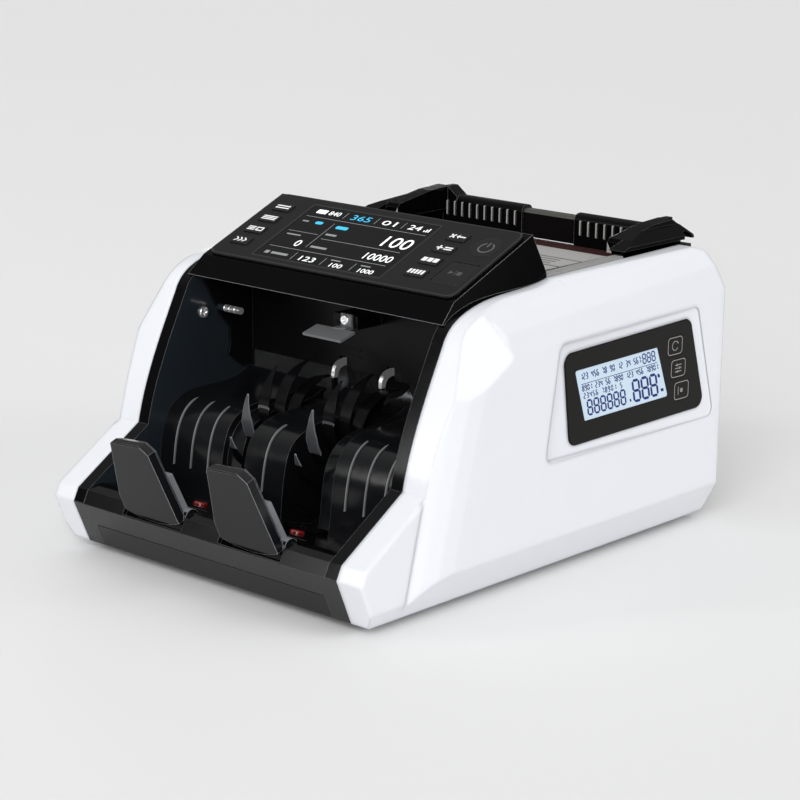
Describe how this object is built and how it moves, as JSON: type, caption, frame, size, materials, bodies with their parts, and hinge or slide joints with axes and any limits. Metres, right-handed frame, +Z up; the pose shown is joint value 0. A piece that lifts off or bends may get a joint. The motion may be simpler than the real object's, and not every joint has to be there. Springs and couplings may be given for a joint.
{
  "type": "banknote counting machine",
  "caption": "Desktop note counter with a sloped control panel and display, a rear hopper with sliding note guides, and a front stacker with finned wheels and fold-in stops.",
  "frame": {"origin": "middle of the bounding box in plan, on the plane the rubber feet stand on", "axes": "+X to the operator's right, +Y from the stacker at the front to the hopper rail at the rear, +Z up"},
  "size_m": [0.2454, 0.3162, 0.1855],
  "materials": {
    "white_shell": "smooth moulded white, semi-gloss",
    "black_shell": "fine-textured near-black moulding",
    "liner_plastic": "smooth near-black moulding",
    "paddle_plastic": "satin charcoal moulding",
    "guide_plastic": "satin charcoal moulding",
    "grey_plastic": "mid-grey moulding",
    "overlay_film": "satin charcoal film with a gloss edge",
    "display_glass": "gloss black display window",
    "lcd_cell": "pale blue backlit display cell",
    "key_cap": "satin black key cap",
    "red_lens": "dark red translucent lens",
    "fin_plastic": "grey flexible fins",
    "shaft_steel": "ground steel",
    "roller_rubber": "matt rubber",
    "belt_rubber": "matt black rubber",
    "sheet_steel": "zinc-plated sheet",
    "finger_metal": "bright plated steel",
    "motor_case": "plated motor can",
    "bush_brass": "sintered bronze",
    "board_green": "green circuit board",
    "supply_tape": "yellow insulating tape on a laminated core",
    "inlet_plastic": "gloss black moulding"
  },
  "bodies": {
    "housing": {"base_pan": "black_shell", "bushings": "bush_brass", "chassis_plates": "sheet_steel", "control_housing": "black_shell", "deflector_fingers": "finger_metal", "drive_belts": "belt_rubber", "feet": "belt_rubber", "floor_insert": "grey_plastic", "front_inset_plate": "black_shell", "front_panel": "black_shell", "guide_rail": "guide_plastic", "hopper_body": "black_shell", "hopper_side_strips": "liner_plastic", "left_side_shell": "white_shell", "main_board": "board_green", "main_display": "display_glass", "main_motor": "motor_case", "paddle_pins": "shaft_steel", "panel_overlay": "overlay_film", "power_inlet": "inlet_plastic", "power_supply": "supply_tape", "rear_panel": "black_shell", "retard_rollers": "roller_rubber", "right_side_shell": "white_shell", "screws": "finger_metal", "sensor_bracket": "grey_plastic", "side_display_plate": "overlay_film", "side_lcd": "lcd_cell", "stacker_covers": "liner_plastic", "stacker_tray": "black_shell", "throat_back": "liner_plastic", "throat_liners": "liner_plastic", "tray_sensor_lenses": "red_lens"},
    "feed_rotor": {"feed_shaft": "shaft_steel", "feed_rollers": "roller_rubber"},
    "pickup_rotor": {"pickup_shaft": "shaft_steel", "pickup_rollers": "roller_rubber"},
    "stacker_rotor": {"impeller_shaft": "shaft_steel", "impeller_wheels": "fin_plastic"},
    "motor_rotor": {"main_motor_pulley": "shaft_steel"},
    "gap_adjuster": {"gap_knob": "grey_plastic"},
    "left_note_stop": {"left_paddle": "paddle_plastic"},
    "right_note_stop": {"right_paddle": "paddle_plastic"},
    "left_guide": {"left_note_guide": "guide_plastic"},
    "right_guide": {"right_note_guide": "guide_plastic"},
    "dust_cover": {"rear_cover": "black_shell"},
    "rocker": {"power_switch": "inlet_plastic"},
    "power_key_body": {"power_key": "key_cap"},
    "start_key_body": {"start_key": "key_cap"},
    "left_key_1_body": {"left_key_1": "key_cap"},
    "left_key_2_body": {"left_key_2": "key_cap"},
    "left_key_3_body": {"left_key_3": "key_cap"},
    "left_key_4_body": {"left_key_4": "key_cap"},
    "right_key_1_body": {"right_key_1": "key_cap"},
    "right_key_2_body": {"right_key_2": "key_cap"},
    "right_key_3_body": {"right_key_3": "key_cap"},
    "right_key_4_body": {"right_key_4": "key_cap"},
    "side_key_1_body": {"side_key_1": "key_cap"},
    "side_key_2_body": {"side_key_2": "key_cap"},
    "side_key_3_body": {"side_key_3": "key_cap"}
  },
  "joints": [
    {"name": "feed_spin", "type": "hinge", "parent": "housing", "child": "feed_rotor", "pos_m": [0, 0.02583, 0.092], "axis": [1, 0, 0], "continuous": true},
    {"name": "pickup_spin", "type": "hinge", "parent": "housing", "child": "pickup_rotor", "pos_m": [0, 0.07383, 0.1116], "axis": [1, 0, 0], "continuous": true},
    {"name": "stacker_spin", "type": "hinge", "parent": "housing", "child": "stacker_rotor", "pos_m": [0, -0.04817, 0.058], "axis": [1, 0, 0], "continuous": true},
    {"name": "motor_spin", "type": "hinge", "parent": "housing", "child": "motor_rotor", "pos_m": [0, 0.09983, 0.052], "axis": [1, 0, 0], "continuous": true},
    {"name": "gap_knob_turn", "type": "hinge", "parent": "housing", "child": "gap_adjuster", "pos_m": [0, 0.03583, 0.15], "axis": [0, 0, 1], "range_deg": [-170, 170]},
    {"name": "left_paddle_fold", "type": "hinge", "parent": "housing", "child": "left_note_stop", "pos_m": [-0.037, -0.13367, 0.0365], "axis": [-1, 0, 0], "range_deg": [0, 70]},
    {"name": "right_paddle_fold", "type": "hinge", "parent": "housing", "child": "right_note_stop", "pos_m": [0.037, -0.13367, 0.0365], "axis": [-1, 0, 0], "range_deg": [0, 70]},
    {"name": "left_guide_slide", "type": "slide", "parent": "housing", "child": "left_guide", "axis": [1, 0, 0], "range_m": [0, 0.018]},
    {"name": "right_guide_slide", "type": "slide", "parent": "housing", "child": "right_guide", "axis": [-1, 0, 0], "range_m": [0, 0.018]},
    {"name": "dust_cover_swing", "type": "hinge", "parent": "housing", "child": "dust_cover", "pos_m": [0, 0.15223, 0.0626], "axis": [-1, 0, 0], "range_deg": [0, 80]},
    {"name": "power_rocker", "type": "hinge", "parent": "housing", "child": "rocker", "pos_m": [-0.07, 0.15343, 0.032], "axis": [-1, 0, 0], "range_deg": [0, 24]},
    {"name": "power_key_press", "type": "slide", "parent": "housing", "child": "power_key_body", "axis": [0, 0.3949, -0.9187], "range_m": [0, 0.0008], "stiffness_N_per_m": 400, "springref_m": -0.0005},
    {"name": "start_key_press", "type": "slide", "parent": "housing", "child": "start_key_body", "axis": [0, 0.3949, -0.9187], "range_m": [0, 0.0008], "stiffness_N_per_m": 400, "springref_m": -0.0005},
    {"name": "left_key_1_press", "type": "slide", "parent": "housing", "child": "left_key_1_body", "axis": [0, 0.3949, -0.9187], "range_m": [0, 0.0008], "stiffness_N_per_m": 400, "springref_m": -0.0005},
    {"name": "left_key_2_press", "type": "slide", "parent": "housing", "child": "left_key_2_body", "axis": [0, 0.3949, -0.9187], "range_m": [0, 0.0008], "stiffness_N_per_m": 400, "springref_m": -0.0005},
    {"name": "left_key_3_press", "type": "slide", "parent": "housing", "child": "left_key_3_body", "axis": [0, 0.3949, -0.9187], "range_m": [0, 0.0008], "stiffness_N_per_m": 400, "springref_m": -0.0005},
    {"name": "left_key_4_press", "type": "slide", "parent": "housing", "child": "left_key_4_body", "axis": [0, 0.3949, -0.9187], "range_m": [0, 0.0008], "stiffness_N_per_m": 400, "springref_m": -0.0005},
    {"name": "right_key_1_press", "type": "slide", "parent": "housing", "child": "right_key_1_body", "axis": [0, 0.3949, -0.9187], "range_m": [0, 0.0008], "stiffness_N_per_m": 400, "springref_m": -0.0005},
    {"name": "right_key_2_press", "type": "slide", "parent": "housing", "child": "right_key_2_body", "axis": [0, 0.3949, -0.9187], "range_m": [0, 0.0008], "stiffness_N_per_m": 400, "springref_m": -0.0005},
    {"name": "right_key_3_press", "type": "slide", "parent": "housing", "child": "right_key_3_body", "axis": [0, 0.3949, -0.9187], "range_m": [0, 0.0008], "stiffness_N_per_m": 400, "springref_m": -0.0005},
    {"name": "right_key_4_press", "type": "slide", "parent": "housing", "child": "right_key_4_body", "axis": [0, 0.3949, -0.9187], "range_m": [0, 0.0008], "stiffness_N_per_m": 400, "springref_m": -0.0005},
    {"name": "side_key_1_press", "type": "slide", "parent": "housing", "child": "side_key_1_body", "axis": [-0.9998, 0.0218, 0], "range_m": [0, 0.0005], "stiffness_N_per_m": 400, "springref_m": -0.0005},
    {"name": "side_key_2_press", "type": "slide", "parent": "housing", "child": "side_key_2_body", "axis": [-0.9998, 0.0218, 0], "range_m": [0, 0.0005], "stiffness_N_per_m": 400, "springref_m": -0.0005},
    {"name": "side_key_3_press", "type": "slide", "parent": "housing", "child": "side_key_3_body", "axis": [-0.9998, 0.0218, 0], "range_m": [0, 0.0005], "stiffness_N_per_m": 400, "springref_m": -0.0005}
  ],
  "couplings": [
    {"joint": "pickup_spin", "follows": "feed_spin", "ratio": 1},
    {"joint": "stacker_spin", "follows": "feed_spin", "ratio": 0.85714},
    {"joint": "motor_spin", "follows": "feed_spin", "ratio": 1.5},
    {"joint": "right_guide_slide", "follows": "left_guide_slide", "ratio": 1}
  ]
}
